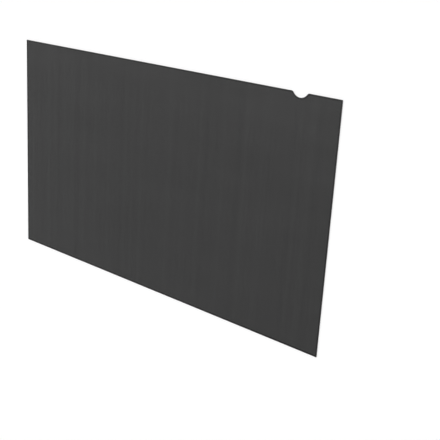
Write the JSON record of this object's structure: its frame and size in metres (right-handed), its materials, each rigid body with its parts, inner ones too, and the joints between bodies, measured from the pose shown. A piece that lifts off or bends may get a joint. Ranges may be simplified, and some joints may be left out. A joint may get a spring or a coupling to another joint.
{
  "type": "monitor privacy filter",
  "caption": "Flat, stiff, see-through dark grey sheet that narrows the viewing angle of a widescreen monitor, with a rounded finger notch in its top edge near the right-hand corner.",
  "frame": {"origin": "middle of the back face, which the sheet lies on", "axes": "+X along the width to the right as seen from the front, +Y up the sheet to the notched top edge, +Z out of the front face, which is up as the sheet lies"},
  "size_m": [0.597, 0.336, 0.0005],
  "materials": {
    "louvre_film": "satin"
  },
  "bodies": {
    "root": {"filter_sheet": "louvre_film"}
  },
  "joints": []
}
